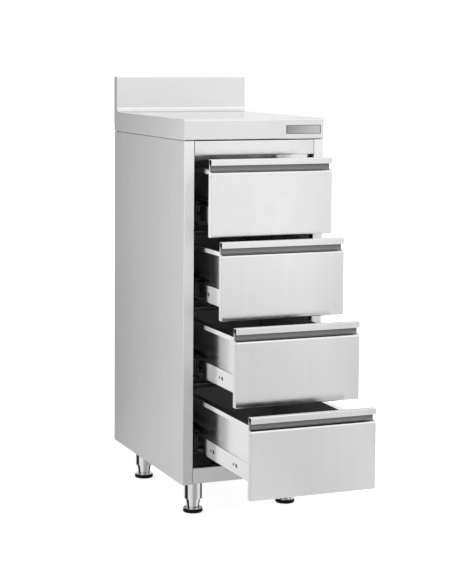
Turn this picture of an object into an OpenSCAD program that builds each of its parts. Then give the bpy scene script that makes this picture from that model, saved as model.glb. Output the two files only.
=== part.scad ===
/* [Cabinet] */
// Width of the cabinet over its side panels
body_w = 340; // [300:1:420]
// Depth of the cabinet from the front plane to its rear face
body_d = 480; // [440:1:620]
// Height of the worktop above the floor
worktop_h = 905; // [850:1:960]
// Height of the folded edge round the worktop
fascia_h = 46.5; // [35:0.5:60]
// Shadow gap between the body's sheets and the worktop's edge
seam_gap = 1.2; // [0.8:0.1:2]
// Thickness of the body's steel sheet
sheet = 1; // [0.8:0.1:1.5]
// Thickness of the worktop's steel sheet
top_sheet = 1.2; // [1:0.1:1.5]
// Width of the stile on each side of the drawers
stile_w = 24.5; // [20:0.5:32]
// Depth of the stile's return behind the front plane
stile_depth = 20; // [14:1:22]
// Width of the flanges turned inwards at the edges of the side panels
flange_w = 20; // [14:1:24]
// Height of the rail between the worktop's edge and the top drawer
top_rail_h = 34.5; // [24:0.5:44]
// Height of the rail under the bottom drawer
floor_rail_h = 37.5; // [28:0.5:50]
// Inner radius of the ordinary bends
bend_r = 0.8; // [0.5:0.1:1.5]

/* [Upstand] */
// Height of the upstand above the worktop
upstand_h = 86; // [50:1:120]
// Thickness of the upstand
upstand_t = 18; // [14:1:26]
// Radius of the cove between worktop and upstand
cove_r = 12; // [6:1:16]
// Radius of the worktop's front edge
edge_r = 4; // [2:0.5:6]
// Thickness of the board under the worktop sheet
core_t = 18; // [12:1:24]

/* [Fronts] */
// Gap between a drawer front and the pieces above and below it
front_gap = 3.4; // [2:0.1:5]
// Gap between a drawer front and the stile
side_gap = 1; // [1:0.25:3]
// Gap between the top rail and the lip of the top drawer
top_gap = 2; // [1.5:0.5:4]
// Gap between the bottom front and the floor rail
last_gap = 7.1; // [3:0.1:9]
// Extra height of the bottom front
last_extra = 5; // [0:1:14]
// Height of the lip over the grip
lip_h = 13; // [12:0.2:18]
// Depth from the lip's face to the rear wall of the grip
grip_d = 14; // [11:0.5:14]
// Height of the grip's rear wall
grip_wall_h = 26; // [22:0.5:28]
// Fall of the grip's ledge towards the face
grip_fall = 2.5; // [1:0.5:8]
// Radius of the bend between the ledge and the face
grip_edge_r = 4; // [1:0.5:6]
// Depth of the folded front behind its face
tray_depth = 15; // [15:0.5:18]

/* [Drawer boxes] */
// Distance from the lip's top edge down to the rim of the box
rim_drop = 25; // [18:0.5:26]
// Width of the rim turned outwards
rim_w = 17; // [12:0.5:18]
// Height of the flange at the rim's outer edge
rim_flange = 10; // [5:0.5:12]
// Height of the box floor above the front's lower edge
floor_rise = 18; // [16:1:24]

/* [Slides] */
// Distance of the slides inwards from the stile's inner edge
slide_inset = 13.7; // [2.5:0.1:16]
// Gap between the slides and the back panel
slide_rear_gap = 10.7; // [6:0.1:20]
// Length of the drawer's rail that stays in the channel when the drawer is fully open
rail_overlap = 97; // [90:0.5:130]
// Height of the rail on the drawer
rail_h = 40; // [36:1:46]
// Thickness of the rail, from the drawer wall to its outer face
rail_t = 14; // [11:0.5:15]
// Distance that the rail stands above the box floor
rail_lift = 4; // [2:0.5:8]
// Sheet thickness of rail and channel
slide_t = 1.4; // [1.2:0.1:1.6]
// Gap between the rail's face and the channel
rail_gap = 1.4; // [1.3:0.1:2]
// Height of the ball races above and below the rail
race_h = 4; // [3.6:0.1:5]
// Diameter of the balls
ball_d = 3.4; // [2.6:0.1:3.4]

/* [Legs] */
// Height of the cabinet's underside above the floor
leg_h = 83; // [82:1:110]
// Diameter of the leg tube
leg_d = 42.5; // [40:0.5:50]
// Wall of the leg tube
leg_wall = 1.2; // [1:0.1:2]
// Distance of the leg's axis from the side of the cabinet
leg_inset_x = 53.5; // [48:0.5:70]
// Distance of the leg's axis from the front and the rear
leg_inset_y = 73; // [50:1:90]
// Height of the foot below the leg tube
foot_h = 32.5; // [30:0.5:36]
// Diameter of the foot's stem under the tube
stem_d = 35; // [28:1:36]
// Diameter of the foot's stem at its lower end
stem_low_d = 28; // [20:1:34]
// Diameter of the disc under the stem
disc_d = 44; // [38:0.5:50]
// Thickness of the disc under the stem
disc_h = 3.5; // [2:0.5:5]
// Diameter of the black foot pad
pad_d = 45.6; // [42:0.2:56]
// Height of the black foot pad
pad_h = 6.5; // [5:0.5:12]
// Diameter of the foot's spindle
spindle_d = 12; // [8:0.5:14]

/* [Plate] */
// Width of the blank plate on the worktop's front edge
plate_w = 85; // [60:1:100]
// Height of the blank plate
plate_h = 20; // [14:1:26]
// Distance of the blank plate from the right side
plate_inset = 8; // [4:1:20]

/* [Stored pose] */
// Opening of the top drawer
open_1 = 98.2; // [0:0.1:280]
// Opening of the second drawer
open_2 = 162; // [0:0.1:280]
// Opening of the third drawer
open_3 = 243; // [0:0.1:280]
// Opening of the bottom drawer
open_4 = 325; // [0:0.1:340]

/* [Hidden] */
$fn = 64;
drawer_count = 4;
bend_steps = 4;
wide_bend_steps = 12;
wide_bend_r = 3;
half_w = body_w / 2;
opening_half = half_w - stile_w;
skin_half = half_w - sheet;
body_top = worktop_h - fascia_h;
skin_top = body_top - seam_gap;
seam_inset = 4;
fold_r = bend_r + sheet / 2;
top_fold_r = bend_r + top_sheet / 2;
fit_gap = 0.2;
// Rails across the opening
rail_lip_h = 11;
rail_lip_inset = 4;
rail_seam = 0.6;
rear_rail_d = 30;
cross_rail_d = 20;
cross_rise = 6;
cross_lip_h = 3.5;
// Heights of the fronts
first_lip = body_top - top_rail_h - top_gap;
last_bottom = leg_h + floor_rail_h + last_gap;
front_pitch = (first_lip - last_bottom + front_gap - last_extra) / drawer_count;
front_h = front_pitch - front_gap;
front_half = opening_half - side_gap;
plate_y = tray_depth + sheet;
plate_rise = 2;
grip_h = grip_wall_h + grip_fall;
corner_gap = 0.8;
relief_d = 3;
relief_drop = 8;
// Slides and the space that they take beside a drawer box
bracket_foot = 9;
bracket_drop = 3;
bracket_face = opening_half - slide_inset;
channel_in = bracket_face - slide_t;
rail_face = channel_in - rail_gap;
box_half = rail_face - rail_t;
box_floor = floor_rise - front_h;
slide_z = box_floor + rail_lift + rail_h / 2;
race_in = rail_h / 2 + race_h;
channel_depth = 11;
rail_y = stile_depth + 2;
buffer_l = 8;
buffer_gap = 0.3;
channel_len = body_d - 2 * sheet - slide_rear_gap - rail_y;
rail_len = channel_len - buffer_l - buffer_gap;
travel = rail_len - rail_overlap;
opened = [for (distance = [open_1, open_2, open_3, open_4]) min(distance, travel)];
box_len = rail_y + rail_len - plate_y;
// The origin is on the floor, midway between the rear face and the front of the bottom drawer
front_y = (opened[3] - body_d) / 2;
cage_len = rail_overlap - 6;
cage_y = rail_y + travel / 2 + (rail_len - travel - cage_len) / 2;
cage_w = 6;
cage_t = 0.8;
ball_x = rail_face - 4.5;
balls_a_row = 4;
ball_hole_gap = 0.1;
rivet_end = 30;
rivet_d = 4;
rivet_head_d = 8;
mark_front = 129;
mark_pitch = 129;
mark_d = 4;
mark_slot = [7, 2];
mark_slot_ys = [-12.5, -17.5];
rear_flange = 10;
// Legs
leg_xs = [leg_inset_x - half_w, half_w - leg_inset_x];
leg_ys = [leg_inset_y, body_d - leg_inset_y];
leg_plate_w = 58;
leg_plate_t = 2;
leg_top = leg_h + sheet - leg_plate_t;
bolt_pitch = 46;
bolt_d = 5;
nut_z = foot_h + 10;
nut_h = 10;
pad_bevel = 2;
spindle_top = leg_top - 9;

function dir(a, b) = (b - a) / norm(b - a);
function left_of(d) = [-d.y, d.x];
function reversed(v) = [for (i = [len(v) - 1 : -1 : 0]) v[i]];
function same(path, r) = [for (i = [2 : len(path) - 1]) r];

// Points round one bend, off to the left of the sheet's middle line
function bend_points(p0, p1, p2, r, off) =
    let (d0 = dir(p0, p1), d1 = dir(p1, p2))
    let (s = sign(d0.x * d1.y - d0.y * d1.x), ang = acos(d0 * d1), n0 = s * left_of(d0))
    let (c = p1 - d0 * r * tan(ang / 2) + r * n0, a0 = atan2(-n0.y, -n0.x))
    let (steps = r > wide_bend_r ? wide_bend_steps : bend_steps)
    [for (k = [0 : steps]) let (a = a0 + s * ang * k / steps)
        c + (r - s * off) * [cos(a), sin(a)]];

// One face of a folded sheet, off to the left of its middle line
function face_line(path, radii, off) =
    let (n = len(path) - 1)
    concat([path[0] + off * left_of(dir(path[0], path[1]))],
        [for (i = [1 : n - 1]) each bend_points(path[i - 1], path[i], path[i + 1], radii[i - 1], off)],
        [path[n] + off * left_of(dir(path[n - 1], path[n]))]);

module folded(path, t, radii)
    polygon(concat(face_line(path, radii, t / 2), reversed(face_line(path, radii, -t / 2))));

// Extrusions of a section along X, along Y and along Z, from a to b
module along_x(a, b) translate([a, 0, 0]) rotate([90, 0, 90]) linear_extrude(b - a) children();
module along_y(a, b) translate([0, b, 0]) rotate([90, 0, 0]) linear_extrude(b - a) children();
module along_z(a, b) translate([0, 0, a]) linear_extrude(b - a) children();

module block(lo, hi) translate(lo) cube(hi - lo);
module on_body() translate([0, front_y, 0]) children();
module both_sides() {
    children();
    mirror([1, 0, 0]) children();
}
module at_legs() for (x = leg_xs, y = leg_ys) translate([x, y, 0]) children();
function lip_z(i) = first_lip - i * front_pitch;
function front_drop(i) = front_h + (i == drawer_count - 1 ? last_extra : 0);

// Cabinet body
module side_panel() {
    mid = half_w - sheet / 2;
    path = [[flange_w - half_w, body_d - sheet / 2], [-mid, body_d - sheet / 2], [-mid, sheet / 2],
        [-opening_half - sheet / 2, sheet / 2], [-opening_half - sheet / 2, stile_depth]];
    along_z(leg_h, skin_top) folded(path, sheet, same(path, fold_r));
    for (z = [leg_h, skin_top - sheet])
        block([-mid, stile_depth, z], [flange_w - half_w, body_d - sheet / 2, z + sheet]);
    block([seam_inset - half_w, stile_depth, skin_top],
        [flange_w - half_w, body_d - seam_inset, body_top]);
}

module side_panel_left() color("gainsboro") on_body() side_panel();
module side_panel_right() color("gainsboro") on_body() mirror([1, 0, 0]) side_panel();

module back_panel() color("silver") on_body()
    block([fit_gap + bend_r - skin_half, body_d - 2 * sheet, leg_h + 2 * sheet],
        [skin_half - bend_r - fit_gap, body_d - sheet, skin_top - sheet]);

module floor_panel() color("lightgray") on_body() {
    rear = body_d - 2 * sheet;
    path = [[stile_depth, leg_h + floor_rail_h - sheet / 2], [sheet / 2, leg_h + floor_rail_h - sheet / 2],
        [sheet / 2, leg_h + 1.5 * sheet], [stile_depth + 10, leg_h + 1.5 * sheet]];
    difference() {
        union() {
            along_x(fit_gap - opening_half, opening_half - fit_gap) folded(path, sheet, same(path, fold_r));
            block([fit_gap - skin_half, stile_depth + 2 * sheet, leg_h + sheet],
                [skin_half - fit_gap, rear, leg_h + 2 * sheet]);
        }
        leg_bolt_holes(leg_h);
    }
}

module top_rail() color("gainsboro") on_body() {
    low = first_lip + top_gap;
    lip_y = plate_y + 1.5;
    lip_half = opening_half - rail_lip_inset;
    path = [[stile_depth, skin_top - sheet / 2], [sheet / 2, skin_top - sheet / 2],
        [sheet / 2, low + sheet / 2], [lip_y + sheet / 2, low + sheet / 2]];
    rail_half = opening_half - rail_seam;
    along_x(-rail_half, rail_half) folded(path, sheet, same(path, fold_r));
    block([-rail_half, seam_inset, skin_top], [rail_half, stile_depth, body_top]);
    block([-lip_half, lip_y, low - rail_lip_h], [lip_half, lip_y + sheet, low + sheet]);
}

module rear_rail() color("silver") on_body() {
    y = body_d - 2 * sheet;
    z = skin_top - 1.5 * sheet;
    path = [[y - rear_rail_d, z - rail_lip_h], [y - rear_rail_d, z], [y - sheet / 2, z],
        [y - sheet / 2, z - 2 * rail_lip_h]];
    along_x(fit_gap - skin_half, skin_half - fit_gap) folded(path, sheet, same(path, fold_r));
}

module cross_rails() color("dimgray") on_body() for (i = [1 : drawer_count - 1]) {
    y = rail_y;
    z = lip_z(i) + cross_rise - sheet / 2;
    path = [[y, z - cross_lip_h], [y, z], [y + cross_rail_d, z], [y + cross_rail_d, z - rail_lip_h]];
    along_x(fit_gap - skin_half, skin_half - fit_gap) folded(path, sheet, same(path, fold_r));
}

// Worktop with its folded edge and hollow upstand
module worktop() color("whitesmoke") on_body() {
    t = top_sheet;
    low = body_top + t / 2;
    top = worktop_h - t / 2;
    face = body_d - upstand_t + t / 2;
    rear = body_d - t / 2;
    high = worktop_h + upstand_h - t / 2;
    shell = [[t / 2, low], [t / 2, top], [face, top], [face, high], [rear, high], [rear, low]];
    radii = [edge_r - t / 2, cove_r + t / 2, top_fold_r, top_fold_r];
    path = concat([[flange_w, low]], shell, [[body_d - flange_w, low]]);
    all_radii = concat([top_fold_r], radii, [top_fold_r]);
    along_x(-half_w, half_w) folded(path, t, all_radii);
    both_sides() {
        along_x(-half_w, t - half_w) polygon(face_line(shell, radii, t / 2));
        block([-half_w, t, body_top], [flange_w - half_w, body_d - t, body_top + t]);
    }
}

module worktop_core() color("burlywood") on_body()
    block([top_sheet + 0.3 - half_w, edge_r, worktop_h - top_sheet - core_t],
        [half_w - top_sheet - 0.3, body_d - upstand_t - cove_r, worktop_h - top_sheet]);

module blank_plate() color("darkgray") on_body() {
    x = half_w - plate_inset - plate_w / 2;
    z = body_top + fascia_h / 2 - 1.5;
    translate([x, 0, z]) rotate([90, 0, 0]) {
        linear_extrude(1) square([plate_w, plate_h], center = true);
        linear_extrude(1.8) difference() {
            square([plate_w, plate_h], center = true);
            square([plate_w - 3, plate_h - 3], center = true);
        }
    }
}

// Slides: bracket and channel on the cabinet, rail on the drawer, balls and cages between them
module each_slide(y = 0) for (i = [0 : drawer_count - 1]) translate([0, y, lip_z(i) + slide_z]) children();

module slide_bracket() {
    skin = sheet / 2 - skin_half;
    web = -bracket_face - sheet / 2;
    half_h = rail_h / 2 - bracket_drop;
    path = [[skin, -half_h - bracket_foot], [skin, -half_h], [web, -half_h], [web, half_h],
        [skin, half_h], [skin, half_h + bracket_foot]];
    difference() {
        along_y(rail_y, rail_y + channel_len) folded(path, sheet, same(path, fold_r));
        rivet_holes();
    }
}

module slide_channel() {
    path = [[channel_depth - bracket_face, -race_in - slide_t / 2],
        [slide_t / 2 - bracket_face, -race_in - slide_t / 2],
        [slide_t / 2 - bracket_face, race_in + slide_t / 2],
        [channel_depth - bracket_face, race_in + slide_t / 2]];
    difference() {
        along_y(rail_y, rail_y + channel_len) folded(path, slide_t, same(path, bend_r + slide_t / 2));
        rivet_holes();
    }
}

rivet_ys = [rail_y + rivet_end, rail_y + channel_len / 2, rail_y + channel_len - rivet_end];
module at_rivets() for (y = rivet_ys) translate([-bracket_face, y, 0]) rotate([0, 90, 0]) children();
module rivet_holes() at_rivets() translate([0, 0, -4]) cylinder(d = rivet_d + 0.2, h = 8);

module slide_brackets_left() color("slategray") on_body() each_slide() slide_bracket();
module slide_brackets_right() color("slategray") on_body() each_slide() mirror([1, 0, 0]) slide_bracket();
module slide_channels_left() color("lightsteelblue") on_body() each_slide() slide_channel();
module slide_channels_right()
    color("lightsteelblue") on_body() each_slide() mirror([1, 0, 0]) slide_channel();

module slide_rivets() color("white") on_body() each_slide() both_sides() at_rivets() {
    translate([0, 0, -sheet - 1.5]) cylinder(d = rivet_d, h = sheet + 1.5 + slide_t + 0.5);
    translate([0, 0, slide_t]) cylinder(d = rivet_head_d, h = 1);
    translate([0, 0, -sheet - 1.5]) cylinder(d = 6, h = 1.5);
}

module closing_buffers() color("#303030") on_body() each_slide(rail_y + rail_len + buffer_gap) both_sides()
    block([-channel_in, 0, 4 - race_in], [channel_depth - bracket_face, buffer_l, race_in - 4]);

module drawer_rail() {
    t = slide_t;
    web = t / 2 - rail_face;
    v = rail_h / 2 - t / 2;
    path = [[-box_half, -v], [web, -v], [web, v], [-box_half, v]];
    difference() {
        along_y(rail_y, rail_y + rail_len) folded(path, t, same(path, bend_r + t / 2));
        for (k = [0, 1]) translate([-rail_face, mark_front + k * mark_pitch, 0]) rotate([0, 90, 0]) {
            cylinder(d = mark_d, h = 3 * t, center = true);
            for (y = mark_slot_ys) translate([0, y, 0])
                cube([mark_slot.x, mark_slot.y, 3 * t], center = true);
        }
    }
}

module drawer_rails(i) color("ghostwhite") in_drawer(i) translate([0, 0, slide_z]) both_sides() drawer_rail();

module in_drawer(i) translate([0, front_y - opened[i], lip_z(i)]) children();
module in_cage(i) translate([0, front_y - opened[i] / 2 + cage_y, lip_z(i) + slide_z]) children();
module at_races() both_sides() for (v = [-1, 1]) translate([-ball_x, 0, v * (rail_h + race_h) / 2]) children();
module at_balls() for (k = [0 : balls_a_row - 1])
    translate([0, cage_len * (k + 0.5) / balls_a_row, 0]) children();

module ball_cages(i) color("goldenrod") in_cage(i) at_races() difference() {
    block([-cage_w / 2, 0, -cage_t / 2], [cage_w / 2, cage_len, cage_t / 2]);
    at_balls() cylinder(d = ball_d + 2 * ball_hole_gap, h = 3 * cage_t, center = true);
}
module slide_balls(i) color("white") in_cage(i) at_races() at_balls() sphere(d = ball_d);

// Drawers, measured from the face and the top edge of each front
module drawer_front(i) color("whitesmoke") in_drawer(i) {
    low = sheet / 2 - front_drop(i);
    edge_radius = grip_edge_r + sheet / 2;
    edge = [[grip_d - sheet / 2, -grip_wall_h], [sheet / 2, -grip_h - sheet / 2], [sheet / 2, low]];
    path = concat([[sheet / 2, -lip_h], [sheet / 2, -sheet / 2], [grip_d - sheet / 2, -sheet / 2]],
        edge, [[tray_depth, low]]);
    relief_z = -grip_h - relief_drop;
    along_x(-front_half, front_half) folded(path, sheet, [fold_r, fold_r, fold_r, edge_radius, fold_r]);
    both_sides() difference() {
        along_x(-front_half, sheet - front_half)
            polygon(concat(face_line(edge, [edge_radius], 0), [[tray_depth, low], [tray_depth, -grip_wall_h]]));
        block([-half_w, sheet, low + bend_r + sheet], [-box_half, sheet + corner_gap, relief_z]);
        along_x(-half_w, -box_half) translate([sheet + relief_d / 2, relief_z]) circle(d = relief_d);
    }
}

module backing_plate(i) color("silver") in_drawer(i)
    block([-front_half, tray_depth, -front_drop(i)], [front_half, plate_y, plate_rise - rim_drop]);

module drawer_box(i) color("lightgray") in_drawer(i) {
    s = sheet / 2;
    out = box_half + rim_w - s;
    wall = box_half - s;
    left = [[-out, -rim_drop - rim_flange], [-out, -rim_drop - s], [-wall, -rim_drop - s],
        [-wall, box_floor + s]];
    right = [for (p = reversed(left)) [-p.x, p.y]];
    path = concat(left, right);
    along_y(plate_y, plate_y + box_len) folded(path, sheet, same(path, fold_r));
}

module drawer_rear(i) color("silver") in_drawer(i) {
    y = plate_y + box_len - 2 * sheet;
    low = box_floor + 1.5 * sheet;
    high = -rim_drop - 1.5 * sheet;
    wall = box_half - sheet - bend_r - fit_gap;
    path = [[y - rear_flange, low], [y, low], [y, high], [y - rear_flange, high]];
    along_x(-wall, wall) folded(path, sheet, same(path, fold_r));
}

// Legs and levelling feet
module leg_bolt_holes(z) at_legs() for (u = [-1, 1], v = [-1, 1])
    translate([u * bolt_pitch / 2, v * bolt_pitch / 2, z - 4]) cylinder(d = bolt_d + 0.4, h = 8);

module leg_plates() color("silver") on_body() difference() {
    at_legs() block([-leg_plate_w / 2, -leg_plate_w / 2, leg_top],
        [leg_plate_w / 2, leg_plate_w / 2, leg_top + leg_plate_t]);
    leg_bolt_holes(leg_top);
}

module leg_bolts() color("dimgray") on_body() at_legs() for (u = [-1, 1], v = [-1, 1])
    translate([u * bolt_pitch / 2, v * bolt_pitch / 2, leg_top]) {
        translate([0, 0, -3]) cylinder(d = 2 * bolt_d, h = 3, $fn = 6);
        translate([0, 0, -1]) cylinder(d = bolt_d, h = 1 + leg_plate_t + sheet + 4);
        translate([0, 0, leg_plate_t + sheet]) cylinder(d = 2 * bolt_d, h = 3, $fn = 6);
    }

module leg_tubes() color("gainsboro") on_body() at_legs() difference() {
    translate([0, 0, foot_h]) cylinder(d = leg_d, h = leg_top - foot_h);
    translate([0, 0, foot_h - 1]) cylinder(d = leg_d - 2 * leg_wall, h = leg_top - foot_h + 2);
}

module leg_nuts() color("dimgray") on_body() at_legs() translate([0, 0, nut_z]) difference() {
    cylinder(d = leg_d - 2 * leg_wall, h = nut_h);
    translate([0, 0, -1]) cylinder(d = spindle_d + 0.1, h = nut_h + 2);
}

module foot_stem(x, y) color("lightgray") on_body() translate([leg_xs[x], leg_ys[y], 0]) {
    neck = pad_h + disc_h;
    translate([0, 0, pad_h]) cylinder(d = disc_d, h = disc_h);
    translate([0, 0, neck]) cylinder(d1 = stem_low_d, d2 = stem_d, h = foot_h - neck);
    translate([0, 0, foot_h]) cylinder(d = spindle_d, h = spindle_top - foot_h);
}

module foot_pad(x, y) color("#202020") on_body() translate([leg_xs[x], leg_ys[y], 0])
    rotate_extrude() polygon([[0, 0], [pad_d / 2 - pad_bevel, 0], [pad_d / 2, pad_bevel],
        [pad_d / 2, pad_h - pad_bevel / 2], [pad_d / 2 - pad_bevel / 2, pad_h], [0, pad_h]]);

module foot_stem_front_left() foot_stem(0, 0);
module foot_stem_front_right() foot_stem(1, 0);
module foot_stem_rear_left() foot_stem(0, 1);
module foot_stem_rear_right() foot_stem(1, 1);
module foot_pad_front_left() foot_pad(0, 0);
module foot_pad_front_right() foot_pad(1, 0);
module foot_pad_rear_left() foot_pad(0, 1);
module foot_pad_rear_right() foot_pad(1, 1);

side_panel_left();
side_panel_right();
back_panel();
floor_panel();
top_rail();
rear_rail();
cross_rails();
worktop();
worktop_core();
blank_plate();
slide_brackets_left();
slide_brackets_right();
slide_channels_left();
slide_channels_right();
slide_rivets();
closing_buffers();
leg_plates();
leg_bolts();
leg_tubes();
leg_nuts();
foot_stem_front_left();
foot_stem_front_right();
foot_stem_rear_left();
foot_stem_rear_right();
foot_pad_front_left();
foot_pad_front_right();
foot_pad_rear_left();
foot_pad_rear_right();
drawer_front(0);  // drawer_front_1
drawer_front(1);  // drawer_front_2
drawer_front(2);  // drawer_front_3
drawer_front(3);  // drawer_front_4
backing_plate(0);  // backing_plate_1
backing_plate(1);  // backing_plate_2
backing_plate(2);  // backing_plate_3
backing_plate(3);  // backing_plate_4
drawer_box(0);  // drawer_box_1
drawer_box(1);  // drawer_box_2
drawer_box(2);  // drawer_box_3
drawer_box(3);  // drawer_box_4
drawer_rear(0);  // drawer_rear_1
drawer_rear(1);  // drawer_rear_2
drawer_rear(2);  // drawer_rear_3
drawer_rear(3);  // drawer_rear_4
drawer_rails(0);  // drawer_rails_1
drawer_rails(1);  // drawer_rails_2
drawer_rails(2);  // drawer_rails_3
drawer_rails(3);  // drawer_rails_4
ball_cages(0);  // ball_cages_1
ball_cages(1);  // ball_cages_2
ball_cages(2);  // ball_cages_3
ball_cages(3);  // ball_cages_4
slide_balls(0);  // slide_balls_1
slide_balls(1);  // slide_balls_2
slide_balls(2);  // slide_balls_3
slide_balls(3);  // slide_balls_4
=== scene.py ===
import math
import bpy
from mathutils import Matrix, Vector


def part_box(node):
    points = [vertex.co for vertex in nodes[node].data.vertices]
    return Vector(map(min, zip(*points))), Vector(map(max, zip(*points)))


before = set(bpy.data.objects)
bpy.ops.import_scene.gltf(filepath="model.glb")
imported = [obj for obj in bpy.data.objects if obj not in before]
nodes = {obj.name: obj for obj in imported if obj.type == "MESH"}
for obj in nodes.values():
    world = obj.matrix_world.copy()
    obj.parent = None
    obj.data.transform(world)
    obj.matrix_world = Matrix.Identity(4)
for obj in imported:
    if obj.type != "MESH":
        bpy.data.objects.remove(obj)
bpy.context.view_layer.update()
print("frame loaded:", len(nodes), "nodes")


# node helpers

def newMaterial(name):
    material = bpy.data.materials.new(name)
    material.use_nodes = True
    return material, material.node_tree, material.node_tree.nodes["Principled BSDF"]


def addNode(tree, kind, place, **values):
    node = tree.nodes.new(kind)
    node.location = place
    for key, value in values.items():
        setattr(node, key, value)
    return node


def feed(tree, socket, value):
    # a number or a triple becomes the socket's own value, anything else is linked to it
    if isinstance(value, (int, float, tuple)):
        socket.default_value = value
    else:
        tree.links.new(value, socket)


def stretchedNoise(tree, place, scale, detail, roughness=0.55):
    # noise on object coordinates, stretched by a different scale on each axis
    coords = addNode(tree, "ShaderNodeTexCoord", (place[0] - 600, place[1]))
    mapping = addNode(tree, "ShaderNodeMapping", (place[0] - 400, place[1]))
    mapping.inputs["Scale"].default_value = scale
    noise = addNode(tree, "ShaderNodeTexNoise", (place[0] - 200, place[1]))
    noise.inputs["Scale"].default_value = 1.0
    noise.inputs["Detail"].default_value = detail
    noise.inputs["Roughness"].default_value = roughness
    tree.links.new(coords.outputs["Object"], mapping.inputs["Vector"])
    tree.links.new(mapping.outputs["Vector"], noise.inputs["Vector"])
    return noise.outputs["Fac"]


def spread(tree, place, source, low, high, fromLow=0.3, fromHigh=0.7):
    # most of a noise lies between 0.3 and 0.7
    node = addNode(tree, "ShaderNodeMapRange", place)
    node.inputs["From Min"].default_value = fromLow
    node.inputs["From Max"].default_value = fromHigh
    node.inputs["To Min"].default_value = low
    node.inputs["To Max"].default_value = high
    tree.links.new(source, node.inputs["Value"])
    return node.outputs["Result"]


def math2(tree, place, operation, first, second):
    node = addNode(tree, "ShaderNodeMath", place, operation=operation)
    feed(tree, node.inputs[0], first)
    feed(tree, node.inputs[1], second)
    return node.outputs[0]


def vectorMath(tree, place, operation, first, second=None, output="Vector"):
    node = addNode(tree, "ShaderNodeVectorMath", place, operation=operation)
    feed(tree, node.inputs[0], first)
    if second is not None:
        feed(tree, node.inputs[1], second)
    return node.outputs[output]


def objectAxes(tree, place):
    coords = addNode(tree, "ShaderNodeTexCoord", (place[0] - 200, place[1]))
    split = addNode(tree, "ShaderNodeSeparateXYZ", place)
    tree.links.new(coords.outputs["Object"], split.inputs[0])
    return split.outputs


def setBaseColour(tree, shader, place, colour, tone):
    scaled = addNode(tree, "ShaderNodeVectorMath", place, operation="SCALE")
    scaled.inputs[0].default_value = colour
    tree.links.new(tone, scaled.inputs["Scale"])
    tree.links.new(scaled.outputs[0], shader.inputs["Base Color"])


def setBump(tree, shader, place, height, strength, distance):
    bump = addNode(tree, "ShaderNodeBump", place)
    bump.inputs["Strength"].default_value = strength
    bump.inputs["Distance"].default_value = distance
    tree.links.new(height, bump.inputs["Height"])
    tree.links.new(bump.outputs["Normal"], shader.inputs["Normal"])


# steel: grain, streaks, handling marks, and painted shade and light by place

wear = {"grainDetail": 4.0, "streakDetail": 2.0,
        "cloudScale": (7.0, 7.0, 7.0), "cloudDetail": 3.0,
        "markScale": (38.0, 38.0, 38.0), "markDetail": 5.0, "markRoughness": 0.65,
        "smoother": 0.02, "rougher": 0.03,  # how far grain and marks each change the roughness
        "bumpDistance": 0.0001, "grainNudge": (0.0, 0.0, 0.01)}


def crossGrain(tree, place, grainAxis):
    # the sheen spreads square to the grain lines: normal x grain, with a little Z where the two are parallel
    surface = addNode(tree, "ShaderNodeNewGeometry", place)
    normal = surface.outputs["Normal"]
    across = vectorMath(tree, (place[0] + 200, place[1]), "CROSS_PRODUCT", normal, grainAxis)
    return vectorMath(tree, (place[0] + 400, place[1]), "ADD", across, wear["grainNudge"])


def boxMask(tree, place, sources, box):
    # 1 between the two corners of a box, and 0 outside it
    mask = None
    for step, source in enumerate(sources):
        low, high = box[0][step], box[1][step]
        within = addNode(tree, "ShaderNodeMath", (place[0], place[1] - 180 * step), operation="COMPARE")
        tree.links.new(source, within.inputs[0])
        within.inputs[1].default_value = (low + high) / 2
        within.inputs[2].default_value = (high - low) / 2
        if mask is None:
            mask = within.outputs[0]
        else:
            mask = math2(tree, (place[0] + 200 * step, place[1]), "MULTIPLY", mask, within.outputs[0])
    return mask


def patchLevel(tree, place, mask, patch):
    # the painted shade and light in one box of the surface: a single level, or one that fades between two
    # places on an axis
    blend = addNode(tree, "ShaderNodeMapRange", (place[0] + 600, place[1]))
    tree.links.new(mask, blend.inputs["Value"])
    blend.inputs["To Min"].default_value = 1.0
    level = patch["level"]
    if "along" in patch:
        along = objectAxes(tree, (place[0] + 200, place[1] - 400))[patch["along"]]
        level = spread(tree, (place[0] + 400, place[1] - 400), along, *level, *patch["ends"])
    feed(tree, blend.inputs["To Max"], level)
    return blend.outputs["Result"]


def paintPatches(tree, shader, tone, shine, patches):
    # multiplies the tone by each patch's painted shade and light, and lowers the metal share where a patch
    # asks for it
    axes = objectAxes(tree, (-3000, 900))
    # both sides of the cabinet count the same in X
    sources = (math2(tree, (-2800, 900), "ABSOLUTE", axes["X"], 0.0), axes["Y"], axes["Z"])
    for number, patch in enumerate(patches):
        place = (-2400, 900 + 700 * number)
        mask = boxMask(tree, place, sources, patch["box"])
        tone = math2(tree, (-1200, place[1]), "MULTIPLY", tone, patchLevel(tree, place, mask, patch))
        if "metallic" in patch:
            share = spread(tree, (-1400, place[1] - 300), mask, 1.0, patch["metallic"], 0.0, 1.0)
            shine = math2(tree, (-1200, place[1] - 300), "MULTIPLY", shine, share)
            tree.links.new(shine, shader.inputs["Metallic"])
    return tone


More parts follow.
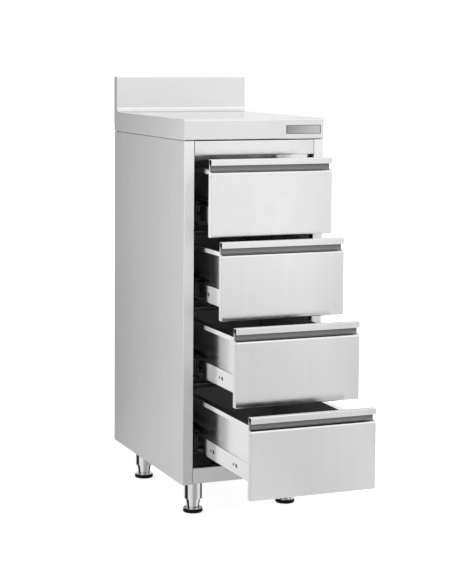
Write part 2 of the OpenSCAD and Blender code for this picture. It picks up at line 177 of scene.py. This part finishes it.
def steel(name, look):
    # fine grain lines along one axis, soft streaks square to them, faint cloudy marks from handling
    material, tree, shader = newMaterial(name)
    grain = stretchedNoise(tree, (-700, 200), look["grainScale"], wear["grainDetail"])
    cloud = stretchedNoise(tree, (-700, -100), wear["cloudScale"], wear["cloudDetail"])
    marks = stretchedNoise(tree, (-700, -400), wear["markScale"], wear["markDetail"], wear["markRoughness"])
    tone = math2(tree, (-300, 200), "ADD",
                 spread(tree, (-480, 250), grain, -look["grainTone"], look["grainTone"]),
                 spread(tree, (-480, 50), cloud, 1.0 - look["cloudTone"], 1.0 + look["cloudTone"]))
    if "streakTone" in look:
        streak = stretchedNoise(tree, (-700, 500), look["streakScale"], wear["streakDetail"])
        tone = math2(tree, (-300, 400), "ADD", tone,
                     spread(tree, (-480, 500), streak, -look["streakTone"], look["streakTone"]))
    shine = look.get("metallic", 1.0)
    shader.inputs["Metallic"].default_value = shine
    tone = paintPatches(tree, shader, tone, shine, look.get("patches", []))
    setBaseColour(tree, shader, (-120, 200), look["colour"], tone)
    less, more = look["roughness"] - wear["smoother"], look["roughness"] + wear["rougher"]
    rough = math2(tree, (-300, -150), "ADD",
                  spread(tree, (-480, -150), marks, -wear["smoother"], wear["rougher"]),
                  spread(tree, (-480, -330), grain, less, more))
    tree.links.new(rough, shader.inputs["Roughness"])
    setBump(tree, shader, (-120, -300), grain, look["bump"], wear["bumpDistance"])
    if "grainAxis" in look:
        shader.inputs["Anisotropic"].default_value = look["anisotropy"]
        tree.links.new(crossGrain(tree, (-700, -700), look["grainAxis"]), shader.inputs["Tangent"])
    return material


# finger grips: painted shade behind their lips, from the lip's rear face to the grip's wall, lighter towards
# the ledge

gripShade = {"halfWidth": 0.1434, "front": 0.0012, "rear": 0.0136, "top": 0.0011, "bottom": 0.0256,
        "fadeTop": 0.0150, "level": (0.33, 0.16),
        "ledgeGap": 0.0003, "ledgeBottom": 0.0284, "ledgeShade": 0.6}


def gripShadePatches(look):
    patches = []
    for number in range(1, 5):
        low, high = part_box("drawer_front_%d" % number)
        front, rear = low[1] + look["front"], low[1] + look["rear"]
        bottom = high[2] - look["bottom"]
        patches.append({"along": "Z", "level": look["level"], "ends": (bottom, high[2] - look["fadeTop"]),
                        "box": ((-look["halfWidth"], front, bottom),
                                (look["halfWidth"], rear, high[2] - look["top"]))})
        patches.append({"level": look["ledgeShade"],
                        "box": ((-look["halfWidth"], front, high[2] - look["ledgeBottom"]),
                                (look["halfWidth"], rear, bottom - look["ledgeGap"]))})
    return patches


# drawer rails: painted shade on the box side and the rail's inner faces makes their holes look into a dark
# space, and a rim of painted shade stands round each round hole and each pair of slots

railHoleShade = {"edge": 0.0013, "nearEnd": 0.085, "farEnd": 0.285, "holeShade": 0.06,
             "boxSideX": (0.1146, 0.1154), "railInsideX": (0.10, 0.1287), "rimX": (0.128, 0.1295),
             "places": (0.129, 0.258), "rimShade": 0.12,
             "rims": ((0.0, 0.0056, 0.006), (-0.015, 0.0085, 0.0085))}  # shift from the hole, width, height


def railShadePatches(look):
    boxSide, rail = [], []
    for number in range(1, 5):
        low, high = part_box("drawer_rails_%d" % number)
        bottom, top = low[2] + look["edge"], high[2] - look["edge"]
        face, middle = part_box("drawer_front_%d" % number)[0][1], (bottom + top) / 2
        near, far = face + look["nearEnd"], face + look["farEnd"]
        for patches, (inner, outer) in ((boxSide, look["boxSideX"]), (rail, look["railInsideX"])):
            patches.append({"box": ((inner, near, bottom), (outer, far, top)), "level": look["holeShade"]})
        inner, outer = look["rimX"]
        for place in look["places"]:
            for shift, wide, tall in look["rims"]:
                y = face + place + shift
                rail.append({"level": look["rimShade"],
                             "box": ((inner, y - wide / 2, middle - tall / 2),
                                     (outer, y + wide / 2, middle + tall / 2))})
    return boxSide, rail


# painted shade and light by place: the two corners of a box and its level, or two levels between two ends on
# an axis

paintedLightAndShade = {
    # painted shade in the seam under the worktop, and on the floor rail's face
    "seamShade": {"box": ((-0.1694, -0.0770, 0.8555), (0.1694, 0.4020, 0.8600)), "level": 0.1},
    "floorRailShade": {"box": ((-0.1694, -0.0785, 0.0), (0.1694, -0.0750, 0.13)), "level": 0.72},
    # painted shade and light: side panels and the worktop's sides get darker to the rear, and the front
    # stiles lighter upwards
    "sideShadeFade": {"box": ((0.1695, -0.0765, 0.0), (0.1705, 0.41, 0.992)), "along": "Y",
                 "level": (0.84, 0.595), "ends": (-0.0775, 0.4025)},
    "stileLightFade": {"box": ((0.1450, -0.0780, 0.0), (0.1705, -0.0770, 0.86)), "along": "Z",
                  "level": (0.8, 1.28), "ends": (0.2, 0.56), "metallic": 0.0},
    # painted shade on the stiles' inner returns; the cabinet's inner panel faces keep their tone and lose
    # most of their metal sheen
    "stileBackShade": {"box": ((-0.1694, -0.0769, 0.0), (0.1694, -0.0560, 1.0)), "level": 0.25},
    "panelInside": {"box": ((-0.1694, -0.0559, 0.0), (0.1694, 0.4020, 1.0)), "level": 1.0,
                    "metallic": 0.1},
    # painted shade inside the drawer boxes, with less metal sheen there, and on the brackets' front ends
    "drawerInsideShade": {"box": ((-0.1143, -0.41, 0.0), (0.1143, 0.41, 1.0)), "level": 0.45, "metallic": 0.4},
    "bracketEndShade": {"box": ((-0.17, -0.0780, 0.0), (0.17, -0.0300, 1.0)), "level": 0.12},
    # painted highlight: the front edges of the dark cross rails are painted as thin light lines
    "crossRailHighlight": {"box": ((-0.15, -0.0558, 0.0), (0.15, -0.0550, 0.8)), "level": 7.0},
    # painted light: the blank plate's face is 1.45 to 2.6 times the plate's colour, lighter towards its outer
    # end
    "plateFaceLight": {"box": ((0.0785, -0.1, 0.8718), (0.1605, 0.0, 0.8888)), "along": "X",
                  "level": (1.45, 2.6), "ends": (0.078, 0.161)},
    # painted shade: the polished disc under each foot's stem is coloured as dark as its pad, up to the disc's
    # upper edge
    "discEdgeShade": {"box": ((-0.3, -1.0, 0.0), (0.3, 1.0, 0.0096)), "level": 0.015},
}

boxSideShade, railOwnShade = railShadePatches(railHoleShade)
satin = {"grainTone": 0.008, "streakScale": (55.0, 55.0, 0.9), "bump": 0.05, "anisotropy": 0.8}
steelLooks = {
    "satinAcross": {**satin, "colour": (0.76, 0.76, 0.765), "grainScale": (5.0, 900.0, 900.0),
                    "cloudTone": 0.01, "streakTone": 0.012, "roughness": 0.10, "grainAxis": (1.0, 0.0, 0.0),
                    "patches": [*gripShadePatches(gripShade), paintedLightAndShade["seamShade"], paintedLightAndShade["floorRailShade"]]},
    "satinTop": {**satin, "colour": (0.75, 0.75, 0.755), "grainScale": (5.0, 900.0, 900.0),
                 "cloudTone": 0.012, "streakTone": 0.008, "roughness": 0.18, "grainAxis": (1.0, 0.0, 0.0),
                 "patches": [paintedLightAndShade["sideShadeFade"], paintedLightAndShade["seamShade"]]},
    "satinSide": {**satin, "colour": (0.76, 0.76, 0.765), "grainScale": (900.0, 5.0, 900.0),
                  "cloudTone": 0.012, "streakTone": 0.014, "roughness": 0.32, "grainAxis": (0.0, 1.0, 0.0),
                  "patches": [paintedLightAndShade["sideShadeFade"], paintedLightAndShade["seamShade"], paintedLightAndShade["stileLightFade"], paintedLightAndShade["stileBackShade"],
                              paintedLightAndShade["panelInside"]]},
    "bright": {"colour": (0.9, 0.9, 0.905), "grainScale": (300.0, 10.0, 300.0), "grainTone": 0.01,
               "cloudTone": 0.02, "roughness": 0.17, "bump": 0.03,
               "patches": [*boxSideShade, paintedLightAndShade["drawerInsideShade"]]},
    "rail": {"colour": (0.86, 0.86, 0.865), "grainScale": (300.0, 8.0, 300.0), "grainTone": 0.012,
             "cloudTone": 0.02, "roughness": 0.13, "bump": 0.05, "patches": railOwnShade},
    "bracket": {"colour": (0.6, 0.6, 0.605), "grainScale": (10.0, 300.0, 300.0), "grainTone": 0.02,
                "cloudTone": 0.05, "roughness": 0.5, "bump": 0.1, "metallic": 0.1,
                "patches": [paintedLightAndShade["bracketEndShade"]]},
    # painted shade: the rear and cross rails are steel coloured near black, standing in for the shade inside
    # the cabinet
    "shadeDark": {"colour": (0.04, 0.04, 0.04), "grainScale": (10.0, 300.0, 300.0), "grainTone": 0.02,
             "cloudTone": 0.05, "roughness": 0.5, "bump": 0.1, "metallic": 0.3,
             "patches": [paintedLightAndShade["crossRailHighlight"]]},
    "sheet": {"colour": (0.55, 0.55, 0.555), "grainScale": (10.0, 300.0, 300.0), "grainTone": 0.02,
              "cloudTone": 0.04, "roughness": 0.34, "bump": 0.1},
    "zinc": {"colour": (0.74, 0.745, 0.755), "grainScale": (300.0, 8.0, 300.0), "grainTone": 0.015,
             "cloudTone": 0.04, "roughness": 0.24, "bump": 0.08},
    # painted shade: the slide channels, rivets and ball cages are coloured near black, standing in for the
    # shade inside the cabinet
    "slideShadeSteel": {"colour": (0.035, 0.035, 0.037), "grainScale": (300.0, 8.0, 300.0), "grainTone": 0.015,
                   "cloudTone": 0.04, "roughness": 0.4, "bump": 0.08, "metallic": 0.5},
    "plate": {"colour": (0.22, 0.22, 0.225), "grainScale": (6.0, 900.0, 900.0), "grainTone": 0.01,
              "cloudTone": 0.02, "roughness": 0.35, "bump": 0.05, "patches": [paintedLightAndShade["plateFaceLight"]]},
    "polished": {"colour": (1.0, 1.0, 1.0), "grainScale": (60.0, 60.0, 900.0), "grainTone": 0.01,
                 "cloudTone": 0.01, "roughness": 0.07, "bump": 0.02, "metallic": 0.92,
                 "patches": [paintedLightAndShade["discEdgeShade"]]},
}


# leg tubes: painted reflections as soft upright light and dark bands, placed by the way that the surface
# faces, the same from every side

tubeReflections = {"acrossAxis": (0.931, -0.366, 0.0),
        "bands": ((-1.0, 1.0), (-0.90, 1.0), (-0.84, 0.02), (-0.57, 0.02), (-0.49, 0.9), (-0.1, 0.8),
                  (0.06, 0.46), (0.36, 0.42), (0.54, 0.95), (0.76, 1.0), (0.81, 0.02), (0.96, 0.02),
                  (0.99, 1.0))}  # from -1 to 1 across the tube, and the level there


def paintTubeReflections(material, look):
    tree = material.node_tree
    baseColour = tree.nodes["Principled BSDF"].inputs["Base Color"]
    surface = addNode(tree, "ShaderNodeNewGeometry", (-900, 700))
    normal = surface.outputs["Normal"]
    facing = vectorMath(tree, (-700, 700), "DOT_PRODUCT", normal, look["acrossAxis"], "Value")
    ramp = addNode(tree, "ShaderNodeValToRGB", (-400, 700))
    tree.links.new(spread(tree, (-550, 700), facing, 0.0, 1.0, -1.0, 1.0), ramp.inputs["Fac"])
    stops = ramp.color_ramp.elements
    stops.remove(stops[1])
    for number, (across, level) in enumerate(look["bands"]):
        position = (across + 1.0) / 2
        stop = stops[0] if number == 0 else stops.new(position)
        stop.position = position
        stop.color = (level, level, level, 1.0)
    plain = baseColour.links[0].from_socket
    tree.links.new(vectorMath(tree, (60, 500), "MULTIPLY", plain, ramp.outputs["Color"]), baseColour)


# moulded plastic and raw board: fine grit, and scuffs in tone and gloss

moulding = {"gritScale": (900.0, 900.0, 900.0), "gritDetail": 2.0,
            "scuffScale": (60.0, 60.0, 60.0), "scuffDetail": 5.0, "scuffRoughness": 0.7,
            "scuffTone": (0.8, 1.35), "smoother": 0.06, "rougher": 0.08, "bump": 0.25, "bumpDistance": 0.0002}
plasticLooks = {
    "blackPlastic": {"colour": (0.004, 0.004, 0.004), "roughness": 0.6, "specular": 0.12},
    "coreBoard": {"colour": (0.42, 0.29, 0.17), "roughness": 0.8, "specular": 0.3},
}


def plastic(name, look):
    material, tree, shader = newMaterial(name)
    grit = stretchedNoise(tree, (-700, 0), moulding["gritScale"], moulding["gritDetail"])
    scuff = stretchedNoise(tree, (-700, -300), moulding["scuffScale"], moulding["scuffDetail"],
                           moulding["scuffRoughness"])
    tone = spread(tree, (-450, 150), scuff, *moulding["scuffTone"])
    setBaseColour(tree, shader, (-200, 150), look["colour"], tone)
    less, more = look["roughness"] - moulding["smoother"], look["roughness"] + moulding["rougher"]
    tree.links.new(spread(tree, (-450, -100), scuff, less, more), shader.inputs["Roughness"])
    shader.inputs["Specular IOR Level"].default_value = look["specular"]
    setBump(tree, shader, (-200, -200), grit, moulding["bump"], moulding["bumpDistance"])
    return material


materials = {name: steel(name, look) for name, look in steelLooks.items()}
paintTubeReflections(materials["polished"], tubeReflections)
materials.update({name: plastic(name, look) for name, look in plasticLooks.items()})


# which node gets which material

def numbered(*stems):
    return ["%s_%d" % (stem, number) for stem in stems for number in range(1, 5)]


def atCorners(stem):
    return ["%s_%s" % (stem, corner) for corner in ("front_left", "front_right", "rear_left", "rear_right")]


finishes = {
    "satinAcross": ["top_rail", "floor_panel", *numbered("drawer_front")],
    "satinTop": ["worktop"],
    "satinSide": ["side_panel_left", "side_panel_right"],
    "plate": ["blank_plate"],
    "bright": numbered("backing_plate", "drawer_box", "drawer_rear"),
    "rail": numbered("drawer_rails"),
    "shadeDark": ["rear_rail", "cross_rails"],
    "bracket": ["slide_brackets_left", "slide_brackets_right"],
    "sheet": ["back_panel"],
    "slideShadeSteel": ["slide_channels_left", "slide_channels_right", "slide_rivets", *numbered("ball_cages")],
    "zinc": ["leg_plates", "leg_bolts", "leg_nuts", *numbered("slide_balls")],
    "polished": ["leg_tubes", *atCorners("foot_stem")],
    "blackPlastic": ["closing_buffers", *atCorners("foot_pad")],
    "coreBoard": ["worktop_core"],
}
for finish, names in finishes.items():
    for nodeName in names:
        mesh = nodes[nodeName].data
        mesh.materials.clear()
        mesh.materials.append(materials[finish])
print("materials set")


# studio: pale floor, white backdrop for the camera, soft grey bands for reflections, soft lamps

studio = {
    "worldLevel": 1.0,
    # each band is the lighter of its two edges; an edge has an axis, two levels, and where it starts and ends
    "bands": [
        (((1.0, 0.0, 0.0), 1.0, 0.88, 0.0, 0.25), ((1.0, 0.0, 0.0), 0.88, 1.0, 0.30, 0.41)),
        (((1.0, 0.0, 0.0), 1.0, 0.86, 0.415, 0.445), ((1.0, 0.0, 0.0), 0.86, 0.95, 0.448, 0.48)),
        (((-0.940, -0.342, 0.0), 0.45, 1.0, -0.09, 0.06), ((0.978, -0.208, 0.0), 0.45, 1.0, -0.07, 0.1)),
    ],
    "floorSize": 40.0, "floorTone": 0.75, "floorRoughness": 0.8, "floorGlow": 0.68,
    "shinyFloorTone": 0.15, "nearLevel": 0.72, "farLevel": 0.98, "nearToFar": (2.5, 6.0),
    "lamps": [  # name, place, target, size, power
        ("keyLamp", (1.8, -3.4, 2.8), (0.0, 0.0, 0.5), 2.6, 9.0),
        ("backLamp", (-2.0, 3.5, 2.5), (-0.2, 0.2, 0.5), 1.6, 6.0),
        ("topLamp", (0.2, 0.4, 3.4), (0.0, 0.1, 0.6), 2.4, 6.0),
    ],
}


def whichRay(tree, place):
    # 1 for a camera or transmission ray, and 1 for a glossy ray, as two outputs
    path = addNode(tree, "ShaderNodeLightPath", place)
    seen = math2(tree, (place[0] + 200, place[1]), "MAXIMUM", path.outputs["Is Camera Ray"],
                 path.outputs["Is Transmission Ray"])
    return seen, path.outputs["Is Glossy Ray"]


def mixed(tree, place, factor, first, second):
    mix = addNode(tree, "ShaderNodeMixShader", place)
    tree.links.new(factor, mix.inputs["Fac"])
    tree.links.new(first, mix.inputs[1])
    tree.links.new(second, mix.inputs[2])
    return mix.outputs["Shader"]


def added(tree, place, first, second):
    node = addNode(tree, "ShaderNodeAddShader", place)
    tree.links.new(first, node.inputs[0])
    tree.links.new(second, node.inputs[1])
    return node.outputs["Shader"]


def glow(tree, place, level, kind="ShaderNodeEmission"):
    node = addNode(tree, kind, place)
    node.inputs["Color"].default_value = (1.0, 1.0, 1.0, 1.0)
    feed(tree, node.inputs["Strength"], level)
    return node.outputs[0]


def diffuse(tree, place, tone):
    node = addNode(tree, "ShaderNodeBsdfDiffuse", place)
    node.inputs["Color"].default_value = (tone, tone, tone, 1.0)
    return node.outputs[0]


def roomLevel(tree, place, direction, look):
    # what shiny sheets see round the studio: white, with soft grey bands at the front and behind
    level = 1.0
    for number, band in enumerate(look["bands"]):
        edges = []
        for step, (axis, low, high, start, stop) in enumerate(band):
            height = place[1] - 400 * number - 200 * step
            along = vectorMath(tree, (place[0], height), "DOT_PRODUCT", direction, axis, "Value")
            edges.append(spread(tree, (place[0] + 200, height), along, low, high, start, stop))
        shade = math2(tree, (place[0] + 400, place[1] - 400 * number), "MAXIMUM", *edges)
        level = math2(tree, (place[0] + 600, place[1] - 400 * number), "MULTIPLY", level, shade)
    return level


def buildWorld(look):
    world = bpy.data.worlds.new("studioWorld")
    bpy.context.scene.world = world
    world.use_nodes = True
    tree = world.node_tree
    tree.nodes.clear()
    output = addNode(tree, "ShaderNodeOutputWorld", (900, 0))
    seen, shiny = whichRay(tree, (-200, 400))
    coords = addNode(tree, "ShaderNodeTexCoord", (-1000, 0))
    level = roomLevel(tree, (-700, 0), coords.outputs["Generated"], look)
    plain = glow(tree, (0, 0), look["worldLevel"], "ShaderNodeBackground")
    banded = glow(tree, (0, -200), level, "ShaderNodeBackground")
    white = glow(tree, (0, -400), 1.0, "ShaderNodeBackground")
    inner = mixed(tree, (300, 0), shiny, plain, banded)
    tree.links.new(mixed(tree, (600, 0), seen, inner, white), output.inputs["Surface"])


def buildFloor(look):
    bpy.ops.object.select_all(action="DESELECT")
    bpy.ops.mesh.primitive_plane_add(size=look["floorSize"], location=(0.0, 0.0, 0.0))
    floor = bpy.context.object
    floor.name = "studioFloor"
    material, tree, shader = newMaterial("paleFloor")
    tone = look["floorTone"]
    shader.inputs["Base Color"].default_value = (tone, tone, tone, 1.0)
    shader.inputs["Roughness"].default_value = look["floorRoughness"]
    seen, shiny = whichRay(tree, (-900, 500))
    # shiny sheets see the room's bands in the floor, and the floor brighter far away
    coords = addNode(tree, "ShaderNodeTexCoord", (-1700, -200))
    heading = vectorMath(tree, (-1500, -200), "NORMALIZE", coords.outputs["Object"])
    distance = vectorMath(tree, (-1500, -400), "LENGTH", coords.outputs["Object"], output="Value")
    away = spread(tree, (-1300, -400), distance, look["nearLevel"], look["farLevel"], *look["nearToFar"])
    level = math2(tree, (-600, -300), "MULTIPLY", roomLevel(tree, (-1200, 0), heading, look), away)
    banded = added(tree, (-100, -100), diffuse(tree, (-300, -300), look["shinyFloorTone"]),
                   glow(tree, (-300, -200), level))
    # the camera sees white where the floor is lit, and a soft shadow under the cabinet
    lit = added(tree, (-100, 100), diffuse(tree, (-300, 100), tone),
                glow(tree, (-300, -50), look["floorGlow"]))
    inner = mixed(tree, (300, 100), shiny, shader.outputs[0], banded)
    tree.links.new(mixed(tree, (500, 100), seen, inner, lit), tree.nodes["Material Output"].inputs["Surface"])
    floor.data.materials.append(material)


def buildLamps(look):
    for name, place, target, size, power in look["lamps"]:
        data = bpy.data.lights.new(name, "AREA")
        data.shape = "SQUARE"
        data.size = size
        data.energy = power
        lamp = bpy.data.objects.new(name, data)
        bpy.context.scene.collection.objects.link(lamp)
        lamp.location = place
        lamp.rotation_euler = (Vector(target) - Vector(place)).to_track_quat("-Z", "Y").to_euler()


buildWorld(studio)
buildFloor(studio)
buildLamps(studio)
print("studio built")


# camera at the photograph's place: angles in degrees, focus, centre and size in pixels of the photograph

view = {"place": (-1.4800, -3.4756, 1.0503), "yaw": 22.076, "pitch": 5.560, "roll": 0.380, "focus": 1654.5,
        "centre": (212.52, 214.39), "size": (452, 584), "sensor": 36.0, "clipEnd": 60.0}


def buildCamera(look):
    wide, tall = look["size"]
    data = bpy.data.cameras.new("photoCamera")
    data.sensor_width = look["sensor"]
    data.lens = look["focus"] / tall * look["sensor"]
    data.shift_x = (wide / 2 - look["centre"][0]) / tall
    data.shift_y = (look["centre"][1] - tall / 2) / tall
    data.clip_end = look["clipEnd"]
    camera = bpy.data.objects.new("photoCamera", data)
    bpy.context.scene.collection.objects.link(camera)
    turn = Matrix.Rotation(math.radians(-look["yaw"]), 4, "Z")
    turn = turn @ Matrix.Rotation(math.radians(90 - look["pitch"]), 4, "X")
    turn = turn @ Matrix.Rotation(math.radians(look["roll"]), 4, "Z")
    camera.matrix_world = Matrix.Translation(look["place"]) @ turn
    bpy.context.scene.camera = camera


buildCamera(view)
bpy.context.scene.view_settings.view_transform = "Standard"
print("camera set")
